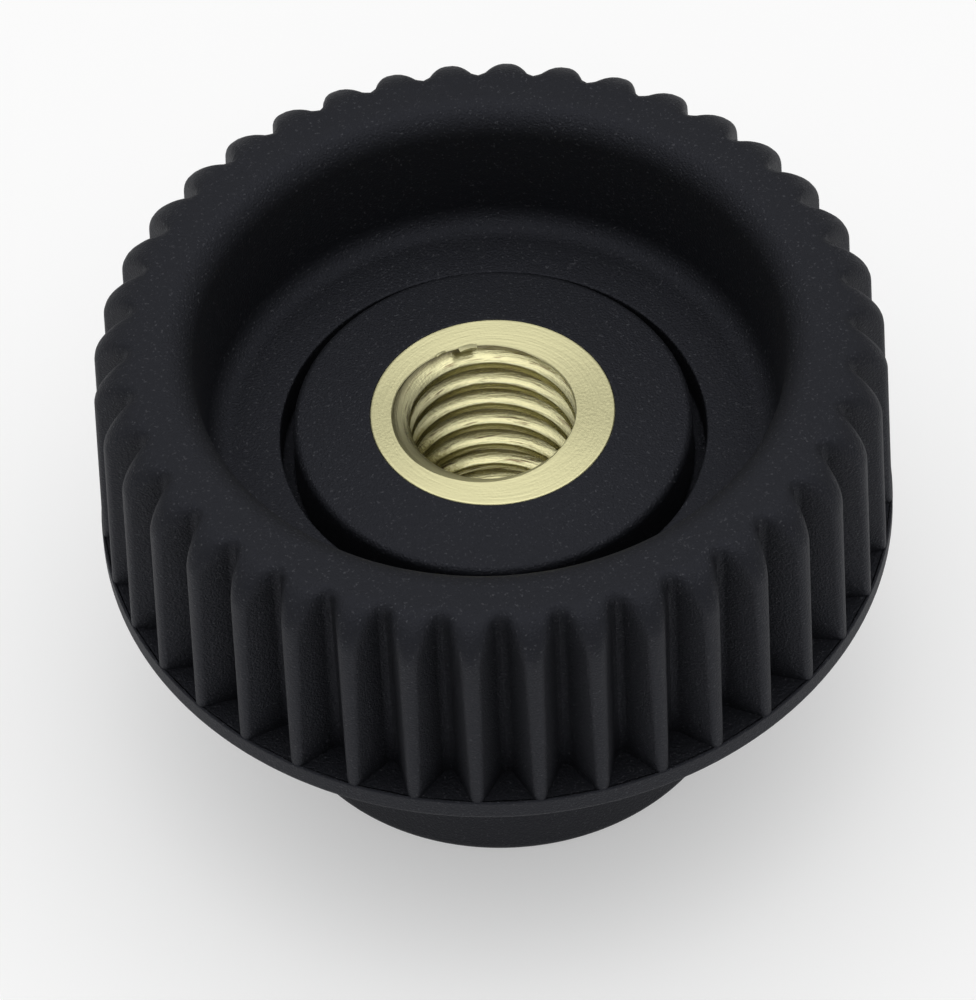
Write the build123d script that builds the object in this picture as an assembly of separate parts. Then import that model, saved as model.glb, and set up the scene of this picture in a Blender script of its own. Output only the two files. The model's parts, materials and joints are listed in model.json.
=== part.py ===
from build123d import *
import os
from math import asin, atan2, cos, hypot, pi, radians, sin, tan

# Fluted clamping knob with a threaded brass insert moulded into it.
# Millimetres. +Z runs up the screw axis, and the origin is the centre of the hub's seating face.

# ---- Overall sizes --------------------------------------------------------
knob_diameter = 32.0          # over the ribs, and over the flange below them
head_height = 10.6            # from the flange's underside to the top of the rim
hub_diameter = 19.2
hub_height = 10.4             # from the seating face to the flange's underside
flange_thickness = 1.0        # plain band that closes the flutes at their lower end

# ---- Fluted grip ----------------------------------------------------------
flute_count = 40
flute_depth = 1.65            # measured at the flange, where the ribs are deepest
flute_bottom_radius = 0.25
rib_land = 0.34               # width of a rib's crest at the flange
grip_draft = 1.5              # degrees, the ribs lean inwards towards the rim

# ---- Bowl in the top ------------------------------------------------------
bowl_depth = 5.8              # from the rim's top to the ring-shaped floor
rim_width = 4.15              # from the knob's outside to the bowl's mouth, without roundings
bowl_draft = 5.0              # degrees
rim_outer_rounding = 1.8
rim_inner_rounding = 1.25
bowl_foot_fillet = 1.0

# ---- Raised disc round the insert, and the groove round the disc ----------
disc_diameter = 16.0
disc_rise = 1.2               # from the bowl's floor to the disc's highest part, round the insert
disc_crown = 0.45             # how far the disc's face falls from the insert to its own edge
disc_edge_rounding = 0.33
groove_width = 0.55
groove_depth = 1.6            # below the bowl's floor
groove_lip_rounding = 0.08

# ---- Small edge breaks ----------------------------------------------------
flange_edge_rounding = 0.22
hub_edge_rounding = 0.5
hub_root_fillet = 0.4

# ---- Brass insert ---------------------------------------------------------
insert_diameter = 9.8
insert_fit_gap = 0.0          # the plastic is moulded against the brass
bore_diameter = 6.65          # minor diameter of the M8 x 1.25 thread
lead_in_diameter = 8.1        # outer edge of the 45 degree lead-in at the foot
retention_groove_count = 2
retention_groove_width = 1.6
retention_groove_depth = 0.55

# ---- Worked out -----------------------------------------------------------
knob_radius = knob_diameter / 2
hub_radius = hub_diameter / 2
flange_top = hub_height + flange_thickness
rim_top = hub_height + head_height
bowl_floor = rim_top - bowl_depth
bowl_mouth_radius = knob_radius - rim_width
bowl_floor_radius = bowl_mouth_radius - bowl_depth * tan(radians(bowl_draft))
disc_top = bowl_floor + disc_rise
disc_edge_height = disc_top - disc_crown
disc_radius = disc_diameter / 2
groove_floor = bowl_floor - groove_depth
groove_radius = disc_radius + groove_width
grip_height = rim_top - flange_top
grip_top_radius = knob_radius - grip_height * tan(radians(grip_draft))
insert_radius = insert_diameter / 2
pocket_radius = insert_radius + insert_fit_gap
bore_radius = bore_diameter / 2
lead_in_depth = (lead_in_diameter - bore_diameter) / 2
insert_length = disc_top


def polyline_section(corners, roundings):
    """Closed section in the XZ plane from (radius, height) corners, some of them rounded."""
    with BuildSketch(Plane.XZ) as section:
        with BuildLine():
            Polyline(*corners, close=True)
        make_face()
        for corner, radius in roundings:
            nearest = section.vertices().sort_by_distance(Vector(*corner, 0))[0]
            fillet(nearest, radius=radius)
    return section.sketch


def retention_steps(radius):
    """Corners down the insert's outside, from its top to its foot, with its holding grooves."""
    root = radius - retention_groove_depth
    spacing = insert_length / (retention_groove_count + 1)
    corners = [(radius, insert_length)]
    for index in range(retention_groove_count, 0, -1):
        upper = index * spacing + retention_groove_width / 2
        lower = index * spacing - retention_groove_width / 2
        corners += [(radius, upper), (root, upper), (root, lower), (radius, lower)]
    return corners + [(radius, 0)]


def flute_outline():
    """One flute seen from above, on the +X side: a V with a round bottom."""
    bottom = knob_radius - flute_depth
    centre = bottom + flute_bottom_radius
    mouth = (2 * pi * knob_radius / flute_count - rib_land) / 2
    run = knob_radius - centre
    flare = atan2(mouth, run) - asin(flute_bottom_radius / hypot(mouth, run))
    tangent_x = centre - flute_bottom_radius * sin(flare)
    tangent_y = flute_bottom_radius * cos(flare)
    overshoot = 1.0
    outer = knob_radius + overshoot
    outer_half = mouth + overshoot * tan(flare)
    with BuildSketch() as outline:
        with BuildLine():
            ThreePointArc((tangent_x, -tangent_y), (bottom, 0), (tangent_x, tangent_y))
            Polyline((tangent_x, tangent_y), (outer, outer_half), (outer, -outer_half),
                     (tangent_x, -tangent_y))
        make_face()
    return outline.sketch


def knob_body():
    """The one-piece moulding: hub, flange, fluted rim, bowl, raised disc and insert pocket."""
    corners = [
        (hub_radius, 0),
        (hub_radius, hub_height),
        (knob_radius, hub_height),
        (knob_radius, flange_top),
        (grip_top_radius, rim_top),
        (bowl_mouth_radius, rim_top),
        (bowl_floor_radius, bowl_floor),
        (groove_radius, bowl_floor),
        (groove_radius, groove_floor),
        (disc_radius, groove_floor),
        (disc_radius, disc_edge_height),
    ] + retention_steps(pocket_radius)
    roundings = [
        ((hub_radius, 0), hub_edge_rounding),
        ((hub_radius, hub_height), hub_root_fillet),
        ((knob_radius, hub_height), flange_edge_rounding),
        ((grip_top_radius, rim_top), rim_outer_rounding),
        ((bowl_mouth_radius, rim_top), rim_inner_rounding),
        ((bowl_floor_radius, bowl_floor), bowl_foot_fillet),
        ((groove_radius, bowl_floor), groove_lip_rounding),
        ((disc_radius, disc_edge_height), disc_edge_rounding),
    ]
    pitch_angle = 360 / flute_count
    with BuildPart() as body:
        add(polyline_section(corners, roundings))
        revolve(axis=Axis.Z)
        with BuildSketch(Plane.XY.offset(flange_top)):
            with PolarLocations(0, flute_count, start_angle=pitch_angle / 2):
                add(flute_outline())
        extrude(amount=head_height, mode=Mode.SUBTRACT)
    return body.part


def threaded_insert():
    """Turned brass bush, flush with the disc above and with the hub's seating face below."""
    corners = [
        (bore_radius, lead_in_depth),
        (bore_radius, insert_length),
    ] + retention_steps(insert_radius) + [(lead_in_diameter / 2, 0)]
    with BuildPart() as insert:
        add(polyline_section(corners, []))
        revolve(axis=Axis.Z)
    return insert.part


os.makedirs("parts", exist_ok=True)
for node, piece in {"knob_body": knob_body(), "threaded_insert": threaded_insert()}.items():
    export_step(piece, "parts/" + node + ".step")
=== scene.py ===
import json
import math

import bmesh
import bpy
import numpy as np
from mathutils import Matrix, Vector


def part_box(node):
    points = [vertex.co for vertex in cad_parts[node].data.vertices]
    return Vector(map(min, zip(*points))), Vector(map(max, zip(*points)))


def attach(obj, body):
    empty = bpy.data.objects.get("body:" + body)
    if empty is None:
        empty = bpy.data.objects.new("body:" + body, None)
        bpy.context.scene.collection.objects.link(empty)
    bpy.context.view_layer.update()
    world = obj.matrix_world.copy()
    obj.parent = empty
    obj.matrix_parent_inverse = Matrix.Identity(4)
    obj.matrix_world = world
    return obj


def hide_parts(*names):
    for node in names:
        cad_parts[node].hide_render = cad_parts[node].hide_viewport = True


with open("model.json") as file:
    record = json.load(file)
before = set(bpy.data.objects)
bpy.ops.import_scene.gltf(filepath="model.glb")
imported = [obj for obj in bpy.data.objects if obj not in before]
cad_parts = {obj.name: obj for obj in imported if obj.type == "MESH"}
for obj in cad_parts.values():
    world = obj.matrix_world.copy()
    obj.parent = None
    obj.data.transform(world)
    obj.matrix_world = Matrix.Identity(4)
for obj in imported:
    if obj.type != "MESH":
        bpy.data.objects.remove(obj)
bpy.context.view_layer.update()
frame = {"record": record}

# ---- Sizes ----------------------------------------------------------------
# Metres, in the CAD frame: +Z up the screw axis, origin in the hub's seating face.
MM = 0.001

_, body_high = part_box("knob_body")
_, insert_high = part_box("threaded_insert")
thread_mount = next(m for m in frame["record"]["mounts"] if m["name"] == "thread")

KNOB_RADIUS = body_high.x
RIM_TOP = body_high.z
INSERT_RADIUS = insert_high.x
DISC_TOP = insert_high.z
BORE_RADIUS = thread_mount["dims"]["r_mm"] * MM

# The sizes inside the moulding, which no box gives. They say what the CAD says.
HUB_RADIUS = 9.6 * MM
HUB_HEIGHT = 10.4 * MM
FLANGE_TOP = HUB_HEIGHT + 1.0 * MM
FLUTE_COUNT = 40
FLUTE_DEPTH = 1.65 * MM
FLUTE_BOTTOM_RADIUS = 0.25 * MM
RIB_LAND = 0.34 * MM
GRIP_DRAFT = math.radians(1.5)
BOWL_FLOOR = RIM_TOP - 5.8 * MM
BOWL_DRAFT = math.radians(5.0)
BOWL_MOUTH_RADIUS = KNOB_RADIUS - 4.15 * MM
BOWL_FLOOR_RADIUS = BOWL_MOUTH_RADIUS - (RIM_TOP - BOWL_FLOOR) * math.tan(BOWL_DRAFT)
RIM_OUTER_ROUNDING = 1.8 * MM
RIM_INNER_ROUNDING = 1.25 * MM
BOWL_FOOT_FILLET = 1.0 * MM
DISC_RADIUS = 8.0 * MM
DISC_EDGE = DISC_TOP - 0.45 * MM
DISC_EDGE_ROUNDING = 0.33 * MM
GROOVE_RADIUS = DISC_RADIUS + 0.55 * MM
GROOVE_FLOOR = BOWL_FLOOR - 1.6 * MM
GROOVE_LIP_ROUNDING = 0.08 * MM
FLANGE_EDGE_ROUNDING = 0.22 * MM
HUB_EDGE_ROUNDING = 0.5 * MM
HUB_ROOT_FILLET = 0.4 * MM

# Fine edges that only the looks have.
RIB_EDGE_ROUNDING = 0.15 * MM     # at the flange; it grows as the rib's crest falls back
RIB_EDGE_GROWTH = 0.30
RIB_EDGE_LARGEST = 0.38 * MM
RIB_RECESS = 0.03 * MM            # the flange stands this much proud of the ribs
FLANGE_UPPER_ROUNDING = 0.06 * MM
SEAM_ROUNDING = 0.05 * MM         # the plastic's edge round the brass
GROOVE_FOOT_ROUNDING = 0.12 * MM
INSERT_EDGE_ROUNDING = 0.06 * MM

# The thread: M8 x 1.25, right-handed. Its groove runs out through the brass's upper face.
THREAD_PITCH = 1.25 * MM
THREAD_MAJOR_RADIUS = 4.02 * MM
THREAD_EXIT = math.radians(197)   # where the groove's middle line meets the upper face
TOP_EDGE_BREAK = 0.04 * MM
LEAD_IN_RADIUS = 4.05 * MM        # at the foot only


# ---- Outlines of revolution -----------------------------------------------
SUPPORT_RUN = 0.06 * MM           # how far beside a rounding the extra point for shading lies
SUPPORT_SHARE = 0.2               # the most of the straight line that this may take up


def rounded(before, corner, after, radius, steps):
    """Points of the arc that rounds a corner between two straight lines."""
    before, corner, after = (np.array(p, float) for p in (before, corner, after))
    to_before = (before - corner) / np.linalg.norm(before - corner)
    to_after = (after - corner) / np.linalg.norm(after - corner)
    half = math.acos(np.clip(to_before @ to_after, -1, 1)) / 2
    middle = to_before + to_after
    centre = corner + middle / np.linalg.norm(middle) * radius / math.sin(half)
    start = corner + to_before * radius / math.tan(half) - centre
    end = corner + to_after * radius / math.tan(half) - centre
    turn = math.acos(np.clip(start @ end / radius**2, -1, 1))
    share = np.linspace(0, 1, steps + 1)[:, None]
    return centre + (np.sin((1 - share) * turn) * start + np.sin(share * turn) * end) / math.sin(turn)


def beside(point, towards):
    """A point a little way along the straight line, so that shading stays flat beyond it."""
    way = np.array(towards, float) - point
    return point + way * min(SUPPORT_SHARE, SUPPORT_RUN / np.linalg.norm(way))


def outline(corners, roundings):
    """An open outline of (radius, height) points; roundings gives {corner number: (radius, steps)}."""
    points = []
    for index, corner in enumerate(corners):
        if index in roundings:
            radius, steps = roundings[index]
            before, after = corners[index - 1], corners[index + 1]
            arc = rounded(before, corner, after, radius, steps)
            points += [beside(arc[0], before)] + list(arc) + [beside(arc[-1], after)]
        else:
            points.append(np.array(corner, float))
    return np.array(points)


# ---- The grip: ribs and flutes --------------------------------------------
PITCH = 2 * math.pi / FLUTE_COUNT
CREST_RADIUS = KNOB_RADIUS - RIB_RECESS
FLUTE_CENTRE = KNOB_RADIUS - FLUTE_DEPTH + FLUTE_BOTTOM_RADIUS
VALLEY_RADIUS = KNOB_RADIUS - FLUTE_DEPTH
MOUTH_HALF = (PITCH * KNOB_RADIUS - RIB_LAND) / 2
MOUTH_RUN = KNOB_RADIUS - FLUTE_CENTRE
FLARE = (math.atan2(MOUTH_HALF, MOUTH_RUN)
         - math.asin(FLUTE_BOTTOM_RADIUS / math.hypot(MOUTH_HALF, MOUTH_RUN)))
TANGENT_RADIUS = math.hypot(FLUTE_CENTRE - FLUTE_BOTTOM_RADIUS * math.sin(FLARE),
                            FLUTE_BOTTOM_RADIUS * math.cos(FLARE))

ARC_CENTRE_Z = RIM_TOP - RIM_OUTER_ROUNDING
ARC_CENTRE_R = (CREST_RADIUS - (ARC_CENTRE_Z - FLANGE_TOP) * math.tan(GRIP_DRAFT)
                - RIM_OUTER_ROUNDING / math.cos(GRIP_DRAFT))


def flute_half_angle(radius):
    """Half the angle that a flute takes up on a circle of that radius about the knob's axis."""
    if radius <= TANGENT_RADIUS:
        cosine = (radius**2 + FLUTE_CENTRE**2 - FLUTE_BOTTOM_RADIUS**2) / (2 * radius * FLUTE_CENTRE)
        return math.acos(min(1.0, cosine))
    return FLARE + math.asin((FLUTE_BOTTOM_RADIUS - FLUTE_CENTRE * math.sin(FLARE)) / radius)


def outside_of_revolution(points):
    """Distance outside the drafted wall, the rim's rounding or the rim's top."""
    radius = np.hypot(points[:, 0], points[:, 1])
    right, up = radius - ARC_CENTRE_R, points[:, 2] - ARC_CENTRE_Z
    angle = np.arctan2(up, right)
    wall = right * math.cos(GRIP_DRAFT) + up * math.sin(GRIP_DRAFT) - RIM_OUTER_ROUNDING
    arc = np.hypot(right, up) - RIM_OUTER_ROUNDING
    top = up - RIM_OUTER_ROUNDING
    return np.where(angle < GRIP_DRAFT, wall, np.where(angle > math.pi / 2, top, arc))


def inside_of_flute(points):
    """Distance into the nearest flute, less than zero in the plastic."""
    angle = np.arctan2(points[:, 1], points[:, 0]) - PITCH / 2
    angle -= np.round(angle / PITCH) * PITCH
    radius = np.hypot(points[:, 0], points[:, 1])
    run = radius * np.cos(angle) - FLUTE_CENTRE
    side = np.abs(radius * np.sin(angle))
    ahead = run * math.cos(FLARE) + side * math.sin(FLARE) > 0
    flank = side * math.cos(FLARE) - run * math.sin(FLARE)
    return FLUTE_BOTTOM_RADIUS - np.where(ahead, flank, np.hypot(run, side))


def edge_rounding(height):
    """Rounding of the ribs' edges: small at the flange, and larger where the crest falls back to the rim."""
    rise = np.clip((height - ARC_CENTRE_Z) / RIM_OUTER_ROUNDING, 0, 1)
    recess = np.maximum(height - FLANGE_TOP, 0) * math.tan(GRIP_DRAFT)
    recess += RIM_OUTER_ROUNDING * (1 - np.sqrt(1 - rise**2))
    return np.minimum(RIB_EDGE_ROUNDING + RIB_EDGE_GROWTH * recess, RIB_EDGE_LARGEST)


def outside_of_grip(points):
    """Distance outside the fluted rim, with its sharp edges rounded."""
    a, b = outside_of_revolution(points), inside_of_flute(points)
    rounding = edge_rounding(points[:, 2])
    corner = np.hypot(np.maximum(a + rounding, 0), np.maximum(b + rounding, 0))
    near_edge = (a > -rounding) & (b > -rounding)
    return np.where(near_edge, corner - rounding, np.maximum(a, b))


SETTLE_ROUNDS = 8
SETTLE_STEP = 0.001 * MM          # to each side of a point, where its slope is measured
LEAST_SLOPE = 0.5                 # a smaller slope would throw a point too far


def settle(points, flat):
    """Moves points onto the rounded grip; those marked flat keep their height."""
    points = points.copy()
    for _ in range(SETTLE_ROUNDS):
        value = outside_of_grip(points)
        slope = np.zeros_like(points)
        for axis in range(3):
            shift = np.zeros(3)
            shift[axis] = SETTLE_STEP
            change = outside_of_grip(points + shift) - outside_of_grip(points - shift)
            slope[:, axis] = change / (2 * SETTLE_STEP)
        slope[flat, 2] = 0
        size = np.maximum((slope**2).sum(1), LEAST_SLOPE**2)
        points -= (value / size)[:, None] * slope
    return points


# ---- Mesh helpers ---------------------------------------------------------
WELD_DISTANCE = 0.0004 * MM
SLIVER_LENGTH = 0.0002 * MM


class Shell:
    """Collects patches of points and faces, and welds them into one mesh."""

    def __init__(self):
        self.points = []
        self.faces = []

    def add_points(self, points):
        first = len(self.points)
        self.points += [tuple(p) for p in points]
        return list(range(first, len(self.points)))

    def add_grid(self, grid):
        """grid is rows x columns x 3. Returns the point numbers, rows x columns."""
        rows, columns = grid.shape[:2]
        numbers = np.array(self.add_points(grid.reshape(-1, 3))).reshape(rows, columns)
        for here, above in zip(numbers[:-1], numbers[1:]):
            for j in range(columns - 1):
                self.faces.append((here[j], here[j + 1], above[j + 1], above[j]))
        return numbers

    def repeat_round(self, count):
        """Copies everything so far round the Z axis, count times in all."""
        base = np.array(self.points)
        faces = list(self.faces)
        for k in range(1, count):
            c, s = math.cos(k * 2 * math.pi / count), math.sin(k * 2 * math.pi / count)
            turned = base @ np.array([[c, s, 0], [-s, c, 0], [0, 0, 1]])
            first = len(self.points)
            self.points += [tuple(p) for p in turned]
            self.faces += [tuple(first + n for n in face) for face in faces]

    def build(self, name, sharp_angle):
        mesh = bpy.data.meshes.new(name)
        mesh.from_pydata(self.points, [], [tuple(int(n) for n in face) for face in self.faces])
        bm = bmesh.new()
        bm.from_mesh(mesh)
        bmesh.ops.remove_doubles(bm, verts=bm.verts, dist=WELD_DISTANCE)
        bmesh.ops.dissolve_degenerate(bm, edges=bm.edges, dist=SLIVER_LENGTH)
        bmesh.ops.recalc_face_normals(bm, faces=bm.faces)
        bm.to_mesh(mesh)
        bm.free()
        mesh.polygons.foreach_set("use_smooth", [True] * len(mesh.polygons))
        mesh.set_sharp_from_angle(angle=sharp_angle)
        piece = bpy.data.objects.new(name, mesh)
        bpy.context.scene.collection.objects.link(piece)
        return piece


def spin(profile, azimuths):
    """Grid of an outline's points carried round to each azimuth."""
    grid = np.empty((len(profile), len(azimuths), 3))
    grid[..., 0] = profile[:, :1] * np.cos(azimuths)
    grid[..., 1] = profile[:, :1] * np.sin(azimuths)
    grid[..., 2] = profile[:, 1:]
    return grid


# ---- The moulding ---------------------------------------------------------
LAND_COLUMNS = 10                 # across a rib's crest
MOUTH_COLUMNS = 4                 # across a flute's mouth, on the flange
WALL_ROWS = 14                    # up a rib's straight crest
ARC_ROWS = 20                     # on the rim's rounding, as far as the flutes reach
CAP_ROWS = 5                      # and from there to the rim's top
FLUTE_ROWS = 10                   # up a flute, closer together towards its top


def grip_rows():
    """Two outlines: a rib's crest up to where the flutes run out, and the rim's rounding from there on."""
    share = np.linspace(0, 1, WALL_ROWS + 1)
    height = FLANGE_TOP + (ARC_CENTRE_Z + RIM_OUTER_ROUNDING * math.sin(GRIP_DRAFT) - FLANGE_TOP) * share
    wall = np.stack([CREST_RADIUS - (height - FLANGE_TOP) * math.tan(GRIP_DRAFT), height], 1)
    run_out = math.acos((VALLEY_RADIUS - ARC_CENTRE_R) / RIM_OUTER_ROUNDING)
    angles = np.linspace(GRIP_DRAFT, run_out, ARC_ROWS + 1)[1:]
    arc = np.stack([ARC_CENTRE_R + RIM_OUTER_ROUNDING * np.cos(angles),
                    ARC_CENTRE_Z + RIM_OUTER_ROUNDING * np.sin(angles)], 1)
    arc[-1, 0] = VALLEY_RADIUS
    rest = np.linspace(run_out, math.pi / 2, CAP_ROWS + 1)
    cap = np.stack([ARC_CENTRE_R + RIM_OUTER_ROUNDING * np.cos(rest),
                    ARC_CENTRE_Z + RIM_OUTER_ROUNDING * np.sin(rest)], 1)
    cap[0, 0] = VALLEY_RADIUS
    return np.concatenate([wall, arc]), cap


def bowl_outline():
    """From the brass outwards: the raised disc, its groove, the bowl's floor and wall, and the rim's top."""
    corners = [
        (INSERT_RADIUS, 0),
        (INSERT_RADIUS, DISC_TOP),
        (DISC_RADIUS, DISC_EDGE),
        (DISC_RADIUS, GROOVE_FLOOR),
        (GROOVE_RADIUS, GROOVE_FLOOR),
        (GROOVE_RADIUS, BOWL_FLOOR),
        (BOWL_FLOOR_RADIUS, BOWL_FLOOR),
        (BOWL_MOUTH_RADIUS, RIM_TOP),
        (ARC_CENTRE_R, RIM_TOP),
    ]
    roundings = {
        1: (SEAM_ROUNDING, 3),
        2: (DISC_EDGE_ROUNDING, 8),
        3: (GROOVE_FOOT_ROUNDING, 3),
        4: (GROOVE_FOOT_ROUNDING, 3),
        5: (GROOVE_LIP_ROUNDING, 4),
        6: (BOWL_FOOT_FILLET, 9),
        7: (RIM_INNER_ROUNDING, 12),
    }
    return outline(corners, roundings)[1:]      # the first corner only gives a direction


def lower_outline():
    """From the brass outwards underneath: the seating face, the hub, and the flange up to its upper edge."""
    corners = [
        (INSERT_RADIUS, FLANGE_TOP),
        (INSERT_RADIUS, 0),
        (HUB_RADIUS, 0),
        (HUB_RADIUS, HUB_HEIGHT),
        (KNOB_RADIUS, HUB_HEIGHT),
        (KNOB_RADIUS, FLANGE_TOP),
        (CREST_RADIUS - 1 * MM, FLANGE_TOP),
    ]
    roundings = {
        1: (SEAM_ROUNDING, 3),
        2: (HUB_EDGE_ROUNDING, 8),
        3: (HUB_ROOT_FILLET, 6),
        4: (FLANGE_EDGE_ROUNDING, 6),
        5: (FLANGE_UPPER_ROUNDING, 3),
    }
    return outline(corners, roundings)[1:-1]    # the end corners only give a direction


def make_knob():
    """One rib and one flute with what lies above and below them, repeated round the axis."""
    shell = Shell()
    crest, cap = grip_rows()
    spread = np.sin(np.linspace(-math.pi / 2, math.pi / 2, LAND_COLUMNS + 1))

    # The rim, the bowl and the disc, from the run-out of the flutes inwards.
    inner = bowl_outline()[::-1]
    top = spin(np.concatenate([cap, inner[1:]]), spread * PITCH / 2)
    rim_rows = len(cap)
    top[:rim_rows] = settle(top[:rim_rows].reshape(-1, 3), []).reshape(rim_rows, -1, 3)
    top_numbers = shell.add_grid(top)

    # The ribs' crests.
    half_lands = np.array([PITCH / 2 - flute_half_angle(r) for r, _ in crest])
    land = np.empty((len(crest), LAND_COLUMNS + 1, 3))
    azimuths = half_lands[:, None] * spread
    land[..., 0] = crest[:, :1] * np.cos(azimuths)
    land[..., 1] = crest[:, :1] * np.sin(azimuths)
    land[..., 2] = crest[:, 1:]
    flat = np.zeros(land.shape[:2], bool)
    flat[0] = True
    land = settle(land.reshape(-1, 3), flat.ravel()).reshape(land.shape)
    land_numbers = shell.add_grid(land)

    # One flute, from the left rib's edge through its bottom to the right rib's edge.
    heights = 1 - (1 - np.linspace(0, 1, FLUTE_ROWS + 1)) ** 2
    columns = [(r, z, -1) for r, z in crest] + [(r, z, 1) for r, z in crest[-2::-1]]
    flute = np.empty((FLUTE_ROWS + 1, len(columns), 3))
    for j, (radius, top_z, side) in enumerate(columns):
        azimuth = PITCH / 2 + side * flute_half_angle(radius)
        flute[:, j, 0] = radius * math.cos(azimuth)
        flute[:, j, 1] = radius * math.sin(azimuth)
        flute[:, j, 2] = FLANGE_TOP + (top_z - FLANGE_TOP) * heights
    flat = np.zeros(flute.shape[:2], bool)
    flat[0] = True
    flute = settle(flute.reshape(-1, 3), flat.ravel()).reshape(flute.shape)
    flute_numbers = shell.add_grid(flute)

    # The hub and the flange.
    mouth = flute_half_angle(CREST_RADIUS)
    under_land = spread * half_lands[0]
    under_mouth = PITCH / 2 + np.linspace(-mouth, mouth, MOUTH_COLUMNS + 1)[1:]
    lower_azimuths = np.concatenate([under_land, under_mouth])
    lower = spin(lower_outline(), lower_azimuths)
    lower_numbers = shell.add_grid(lower)

    # The flange's upper face: a thin strip under each rib, and one face under each flute.
    edge = lower_numbers[-1]
    for j in range(LAND_COLUMNS):
        shell.faces.append((edge[j], edge[j + 1], land_numbers[0, j + 1], land_numbers[0, j]))
    flute_foot = list(flute_numbers[0][1:])
    shell.faces.append([land_numbers[0, -1]] + flute_foot + list(edge[:LAND_COLUMNS - 1:-1]))

    # The pocket that holds the brass, hidden from sight.
    shell.faces.append(list(top_numbers[-1]) + list(lower_numbers[0][::-1]))
    shell.repeat_round(FLUTE_COUNT)
    return shell.build("knob_moulding", math.radians(40))


# ---- The brass insert -----------------------------------------------------
THREAD_COLUMNS = 180


def thread_form():
    """One pitch of the thread as (share of the pitch, depth above the minor radius) points."""
    depth = THREAD_MAJOR_RADIUS - BORE_RADIUS
    crest, flank, root = 0.25, 0.3125, 0.125
    ease = 0.018
    return [
        (0.0, 0.0),
        (crest * 0.5, 0.0),
        (crest - ease, 0.0),
        (crest + ease, depth * 0.05),
        (crest + flank * 0.33, depth * 0.33),
        (crest + flank * 0.67, depth * 0.67),
        (crest + flank - ease, depth * 0.95),
        (crest + flank + root * 0.25, depth),
        (crest + flank + root * 0.75, depth),
        (crest + flank + root + ease, depth * 0.95),
        (crest + flank + root + flank * 0.33, depth * 0.67),
        (crest + flank + root + flank * 0.67, depth * 0.33),
        (1 - ease, depth * 0.05),
    ]


ROOT_MIDDLE = 0.625               # the share of the pitch at the middle of the thread's root
BURR_COLUMNS = 7
BURRS = (                         # first and last azimuth in degrees, inner and outer radius, lift
    (94, 106, 3.40 * MM, 3.78 * MM, 0.11 * MM),
    (114, 121, 3.68 * MM, 3.86 * MM, 0.07 * MM),
)


def thread_wall(azimuths):
    """The threaded wall from the foot up to the upper face, as rows x columns of points."""
    form = thread_form()
    turns = math.ceil(DISC_TOP / THREAD_PITCH) + 3
    shares = np.array([turn + share for turn in range(-turns, 2) for share, _ in form])
    depths = np.array([depth for _ in range(-turns, 2) for _, depth in form])
    ceiling = DISC_TOP - TOP_EDGE_BREAK
    grid = np.empty((len(shares), len(azimuths), 3))
    for j, azimuth in enumerate(azimuths):
        lag = (azimuth - THREAD_EXIT) / (2 * math.pi) - ROOT_MIDDLE
        height = DISC_TOP + (shares + lag) * THREAD_PITCH
        radius = BORE_RADIUS + depths
        for limit, beyond in ((0.0, height < 0.0), (ceiling, height > ceiling)):
            at_limit = np.interp(limit, height, radius)
            radius = np.where(beyond, at_limit, radius)
            height = np.where(beyond, limit, height)
        radius = np.maximum(radius, LEAD_IN_RADIUS - height)
        grid[:, j] = np.stack([radius * math.cos(azimuth), radius * math.sin(azimuth), height], 1)
    return grid


def add_burr(shell, first, last, inner, outer, lift):
    """A little tongue of brass turned up where the thread breaks out through the upper face."""
    azimuths = np.radians(np.linspace(first, last, BURR_COLUMNS))
    arch = np.sin(np.linspace(0.15, 0.85, BURR_COLUMNS) * math.pi)
    low, thick = DISC_TOP - 0.02 * MM, 0.03 * MM
    loop = [(inner, low), (inner, DISC_TOP + lift), (inner + thick, DISC_TOP + lift), (outer, low)]
    grid = np.empty((len(loop) + 1, len(azimuths), 3))
    for i, (radius, height) in enumerate(loop + loop[:1]):
        grid[i, :, 0] = radius * np.cos(azimuths)
        grid[i, :, 1] = radius * np.sin(azimuths)
        grid[i, :, 2] = np.where(height > DISC_TOP, DISC_TOP + (height - DISC_TOP) * arch, height)
    numbers = shell.add_grid(grid)
    shell.faces.append(list(numbers[:-1, 0]))
    shell.faces.append(list(numbers[:-1, -1]))


def make_insert():
    """The threaded wall, the upper face, the outside and the foot, with the burrs on the upper face."""
    azimuths = np.linspace(0, 2 * math.pi, THREAD_COLUMNS + 1)
    shell = Shell()
    wall = thread_wall(azimuths)
    shell.add_grid(wall)

    # The upper face, from the thread's open edge outwards, then the outside and the foot.
    edge_radius = np.hypot(wall[-1, :, 0], wall[-1, :, 1])
    corners = [
        (LEAD_IN_RADIUS, DISC_TOP),
        (INSERT_RADIUS, DISC_TOP),
        (INSERT_RADIUS, 0),
        (LEAD_IN_RADIUS, 0),
    ]
    roundings = {1: (INSERT_EDGE_ROUNDING, 4), 2: (INSERT_EDGE_ROUNDING, 4)}
    outside = spin(outline(corners, roundings)[1:], azimuths)
    face = np.empty((2, len(azimuths), 3))
    face[0] = wall[-1]
    face[1, :, 0] = (edge_radius + TOP_EDGE_BREAK) * np.cos(azimuths)
    face[1, :, 1] = (edge_radius + TOP_EDGE_BREAK) * np.sin(azimuths)
    face[1, :, 2] = DISC_TOP
    shell.add_grid(np.concatenate([face, outside]))
    for burr in BURRS:
        add_burr(shell, *burr)
    return shell.build("insert_threaded", math.radians(38))


# ---- Materials ------------------------------------------------------------
def new_material(name):
    """Returns a new material, its nodes, its links and its shader."""
    material = bpy.data.materials.new(name)
    material.use_nodes = True
    nodes = material.node_tree.nodes
    shader = nodes["Principled BSDF"]
    return material, nodes, material.node_tree.links, shader


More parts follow.
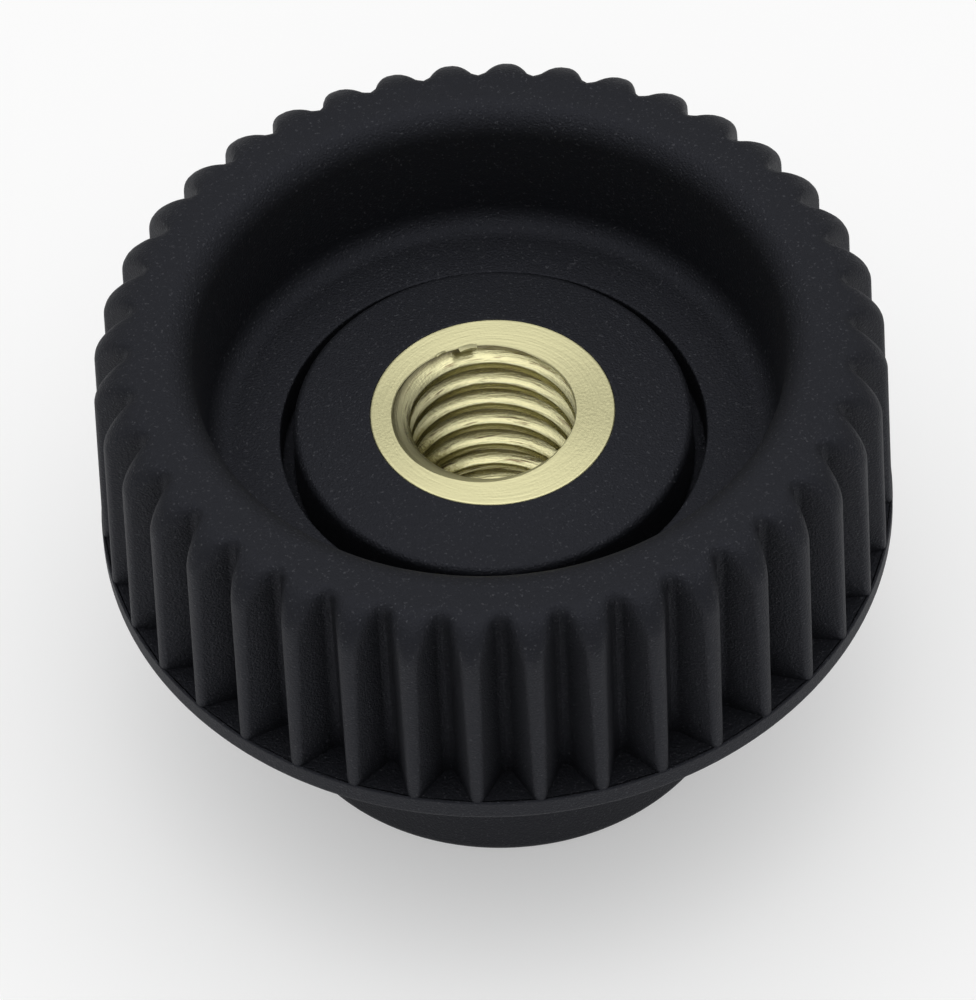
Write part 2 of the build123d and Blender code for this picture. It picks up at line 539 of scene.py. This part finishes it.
def maths(nodes, links, operation, *values):
    """A maths node on sockets or plain numbers. Returns its output socket."""
    node = nodes.new("ShaderNodeMath")
    node.operation = operation
    for socket, value in zip(node.inputs, values):
        if isinstance(value, (int, float)):
            socket.default_value = value
        else:
            links.new(value, socket)
    return node.outputs["Value"]


def noise(nodes, links, place, scale, detail):
    """A noise texture's output socket, on places in metres."""
    node = nodes.new("ShaderNodeTexNoise")
    node.inputs["Scale"].default_value = scale
    node.inputs["Detail"].default_value = detail
    links.new(place, node.inputs["Vector"])
    return node.outputs["Fac"]


def black_plastic():
    """Satin black moulded plastic with a fine spark-eroded grain and a little pale dust."""
    material, nodes, links, shader = new_material("black_plastic")
    shader.inputs["Roughness"].default_value = 0.62
    shader.inputs["Specular IOR Level"].default_value = 0.36
    shader.inputs["Specular Tint"].default_value = (0.80, 0.83, 1.0, 1)
    place = nodes.new("ShaderNodeTexCoord")
    grain = noise(nodes, links, place.outputs["Object"], 11000, 2)
    bump = nodes.new("ShaderNodeBump")
    bump.inputs["Strength"].default_value = 1.0
    bump.inputs["Distance"].default_value = 0.045 * MM
    links.new(grain, bump.inputs["Height"])
    links.new(bump.outputs["Normal"], shader.inputs["Normal"])
    dust = nodes.new("ShaderNodeMapRange")
    dust.inputs["From Min"].default_value, dust.inputs["From Max"].default_value = 0.62, 0.74
    links.new(noise(nodes, links, place.outputs["Object"], 9500, 2), dust.inputs["Value"])
    tone = nodes.new("ShaderNodeMix")
    tone.data_type = "RGBA"
    tone.inputs["A"].default_value = (0.0040, 0.0043, 0.0052, 1)
    tone.inputs["B"].default_value = (0.045, 0.046, 0.050, 1)
    links.new(dust.outputs["Result"], tone.inputs["Factor"])
    links.new(tone.outputs["Result"], shader.inputs["Base Color"])
    return material


def brass():
    """Turned brass: fine rings round the axis from the tool, small pits, and in the thread brown stain
    streaks with painted shade in its roots.
    """
    material, nodes, links, shader = new_material("turned_brass")
    shader.inputs["Metallic"].default_value = 1.0
    shader.inputs["Anisotropic"].default_value = 0.85
    shader.inputs["Anisotropic Rotation"].default_value = 0.25
    tangent = nodes.new("ShaderNodeTangent")
    tangent.direction_type = "RADIAL"
    tangent.axis = "Z"
    links.new(tangent.outputs["Tangent"], shader.inputs["Tangent"])

    # Streaks that run round the axis: noise that changes quickly with radius and height.
    place = nodes.new("ShaderNodeTexCoord")
    split = nodes.new("ShaderNodeSeparateXYZ")
    links.new(place.outputs["Object"], split.inputs["Vector"])
    x, y, z = (split.outputs[axis] for axis in "XYZ")
    x_square, y_square = (maths(nodes, links, "MULTIPLY", value, value) for value in (x, y))
    radius = maths(nodes, links, "SQRT", maths(nodes, links, "ADD", x_square, y_square))
    along = nodes.new("ShaderNodeCombineXYZ")
    for axis, value in (("X", x), ("Y", y)):
        turned = maths(nodes, links, "MULTIPLY", maths(nodes, links, "DIVIDE", value, radius), 0.9 * MM)
        links.new(turned, along.inputs[axis])
    links.new(maths(nodes, links, "MULTIPLY", z, 4.0), along.inputs["Z"])
    streaks = nodes.new("ShaderNodeTexNoise")
    streaks.noise_dimensions = "4D"
    streaks.inputs["Scale"].default_value = 3000
    streaks.inputs["Detail"].default_value = 4
    links.new(along.outputs["Vector"], streaks.inputs["Vector"])
    links.new(maths(nodes, links, "MULTIPLY", radius, 3.0), streaks.inputs["W"])
    specks = noise(nodes, links, place.outputs["Object"], 9000, 3)

    height = maths(nodes, links, "ADD", streaks.outputs["Fac"], maths(nodes, links, "MULTIPLY", specks, 0.5))
    bump = nodes.new("ShaderNodeBump")
    bump.inputs["Strength"].default_value = 0.5
    bump.inputs["Distance"].default_value = 0.03 * MM
    links.new(height, bump.inputs["Height"])
    links.new(bump.outputs["Normal"], shader.inputs["Normal"])

    # The thread is smoother than the faced ends. Below its upper edge it takes brown stain streaks, and
    # painted shade that darkens its roots.
    below = nodes.new("ShaderNodeMapRange")
    below.inputs["From Min"].default_value = DISC_TOP - 0.02 * MM
    below.inputs["From Max"].default_value = DISC_TOP - 0.6 * MM
    links.new(z, below.inputs["Value"])
    in_bore = maths(nodes, links, "LESS_THAN", radius, LEAD_IN_RADIUS)
    inside = maths(nodes, links, "MULTIPLY", below.outputs["Result"], in_bore)
    finish = nodes.new("ShaderNodeMapRange")
    finish.inputs["To Min"].default_value, finish.inputs["To Max"].default_value = 0.36, 0.22
    links.new(inside, finish.inputs["Value"])
    links.new(finish.outputs["Result"], shader.inputs["Roughness"])
    stain = nodes.new("ShaderNodeMapRange")
    stain.inputs["From Min"].default_value, stain.inputs["From Max"].default_value = 0.56, 0.72
    links.new(streaks.outputs["Fac"], stain.inputs["Value"])
    # Painted shade: the thread's roots, the deepest part of its groove, are coloured darker brown.
    root = nodes.new("ShaderNodeMapRange")
    root.inputs["From Min"].default_value = BORE_RADIUS + 0.40 * MM
    root.inputs["From Max"].default_value = THREAD_MAJOR_RADIUS
    links.new(radius, root.inputs["Value"])
    # Brown stain streaks, together with the painted shade in the thread's roots.
    stain_and_root_shade = maths(nodes, links, "MAXIMUM", stain.outputs["Result"], root.outputs["Result"])
    stain_and_root_shade = maths(nodes, links, "MULTIPLY", stain_and_root_shade, inside)
    tone = nodes.new("ShaderNodeMix")
    tone.data_type = "RGBA"
    tone.inputs["A"].default_value = (0.70, 0.665, 0.39, 1)
    tone.inputs["B"].default_value = (0.20, 0.14, 0.08, 1)
    links.new(stain_and_root_shade, tone.inputs["Factor"])
    links.new(tone.outputs["Result"], shader.inputs["Base Color"])
    return material


# ---- Studio ---------------------------------------------------------------
SKY_OVERHEAD = 1.65
SKY_AROUND = 0.40
SKY_EDGE = (0.62, 0.90)           # sines of the elevations between which the sky brightens
FLOOR_LIFT = 0.38                 # what the floor's own light adds where it is looked at
FLOOR_HALF_WIDTH = 1.5
FLOOR_LEVEL = -0.02 * MM          # a hair below the foot, so that the two never share a plane

# The camera has the photograph's view. Its turn is about the knob's own axis.
CAMERA_ELEVATION = math.radians(49.612)
CAMERA_ROLL = math.radians(2.9335)
CAMERA_TURN = math.radians(-4.0)
CAMERA_DISTANCE = 20 * KNOB_RADIUS
CAMERA_SENSOR = 36.0              # these two in millimetres
CAMERA_LENS = 284.28
FRAME_RIGHT = 0.3781 * MM         # how far right of the frame's middle the hub's top lies,
FRAME_UP = -0.3295 * MM           # and how far above it


def white_floor():
    material, nodes, links, shader = new_material("floor")
    shader.inputs["Base Color"].default_value = (0.64, 0.64, 0.64, 1)
    shader.inputs["Roughness"].default_value = 1.0
    shader.inputs["Specular IOR Level"].default_value = 0.0
    shader.inputs["Emission Color"].default_value = (1, 1, 1, 1)
    path = nodes.new("ShaderNodeLightPath")
    seen = maths(nodes, links, "MAXIMUM", path.outputs["Is Camera Ray"], path.outputs["Is Glossy Ray"])
    seen = maths(nodes, links, "MAXIMUM", seen, path.outputs["Is Transmission Ray"])
    links.new(maths(nodes, links, "MULTIPLY", seen, FLOOR_LIFT), shader.inputs["Emission Strength"])
    return material


def make_floor():
    mesh = bpy.data.meshes.new("floor")
    corners = [(x * FLOOR_HALF_WIDTH, y * FLOOR_HALF_WIDTH, FLOOR_LEVEL)
               for x, y in ((-1, -1), (1, -1), (1, 1), (-1, 1))]
    mesh.from_pydata(corners, [], [(0, 1, 2, 3)])
    floor = bpy.data.objects.new("floor", mesh)
    bpy.context.scene.collection.objects.link(floor)
    mesh.materials.append(white_floor())


def make_world():
    """A soft sky that grows brighter towards the zenith. The camera itself sees white."""
    world = bpy.data.worlds.new("studio")
    world.use_nodes = True
    nodes, links = world.node_tree.nodes, world.node_tree.links
    background = nodes["Background"]
    place = nodes.new("ShaderNodeTexCoord")
    split = nodes.new("ShaderNodeSeparateXYZ")
    links.new(place.outputs["Generated"], split.inputs["Vector"])
    sky = nodes.new("ShaderNodeMapRange")
    sky.interpolation_type = "SMOOTHSTEP"
    sky.inputs["From Min"].default_value, sky.inputs["From Max"].default_value = SKY_EDGE
    sky.inputs["To Min"].default_value, sky.inputs["To Max"].default_value = SKY_AROUND, SKY_OVERHEAD
    links.new(split.outputs["Z"], sky.inputs["Value"])
    path = nodes.new("ShaderNodeLightPath")
    blend = nodes.new("ShaderNodeMix")
    blend.data_type = "FLOAT"
    links.new(sky.outputs["Result"], blend.inputs["A"])
    blend.inputs["B"].default_value = 1.0
    links.new(path.outputs["Is Camera Ray"], blend.inputs["Factor"])
    links.new(blend.outputs["Result"], background.inputs["Strength"])
    background.inputs["Color"].default_value = (1, 1, 1, 1)
    bpy.context.scene.world = world


def make_camera():
    """Looks down on the knob from the front, from far off, rolled a few degrees."""
    se, ce = math.sin(CAMERA_ELEVATION), math.cos(CAMERA_ELEVATION)
    level, rise = Vector((1, 0, 0)), Vector((0, se, ce))
    right = math.cos(CAMERA_ROLL) * level - math.sin(CAMERA_ROLL) * rise
    up = math.sin(CAMERA_ROLL) * level + math.cos(CAMERA_ROLL) * rise
    back = Vector((0, -ce, se))
    place = back * CAMERA_DISTANCE - right * FRAME_RIGHT - up * FRAME_UP
    pose = Matrix((right, up, back)).transposed().to_4x4()
    pose.translation = place
    pose = Matrix.Translation((0, 0, HUB_HEIGHT)) @ Matrix.Rotation(CAMERA_TURN, 4, "Z") @ pose
    data = bpy.data.cameras.new("camera")
    data.sensor_width = CAMERA_SENSOR
    data.lens = CAMERA_LENS
    data.clip_start, data.clip_end = 0.01, 10
    camera = bpy.data.objects.new("camera", data)
    bpy.context.scene.collection.objects.link(camera)
    camera.matrix_world = pose
    bpy.context.scene.camera = camera


# ---- Putting it together --------------------------------------------------
knob = make_knob()
knob.data.materials.append(black_plastic())
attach(knob, "root")
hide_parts("knob_body")

insert = make_insert()
insert.data.materials.append(brass())
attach(insert, "root")
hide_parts("threaded_insert")

make_floor()
make_world()
make_camera()
bpy.context.scene.view_settings.view_transform = "Standard"
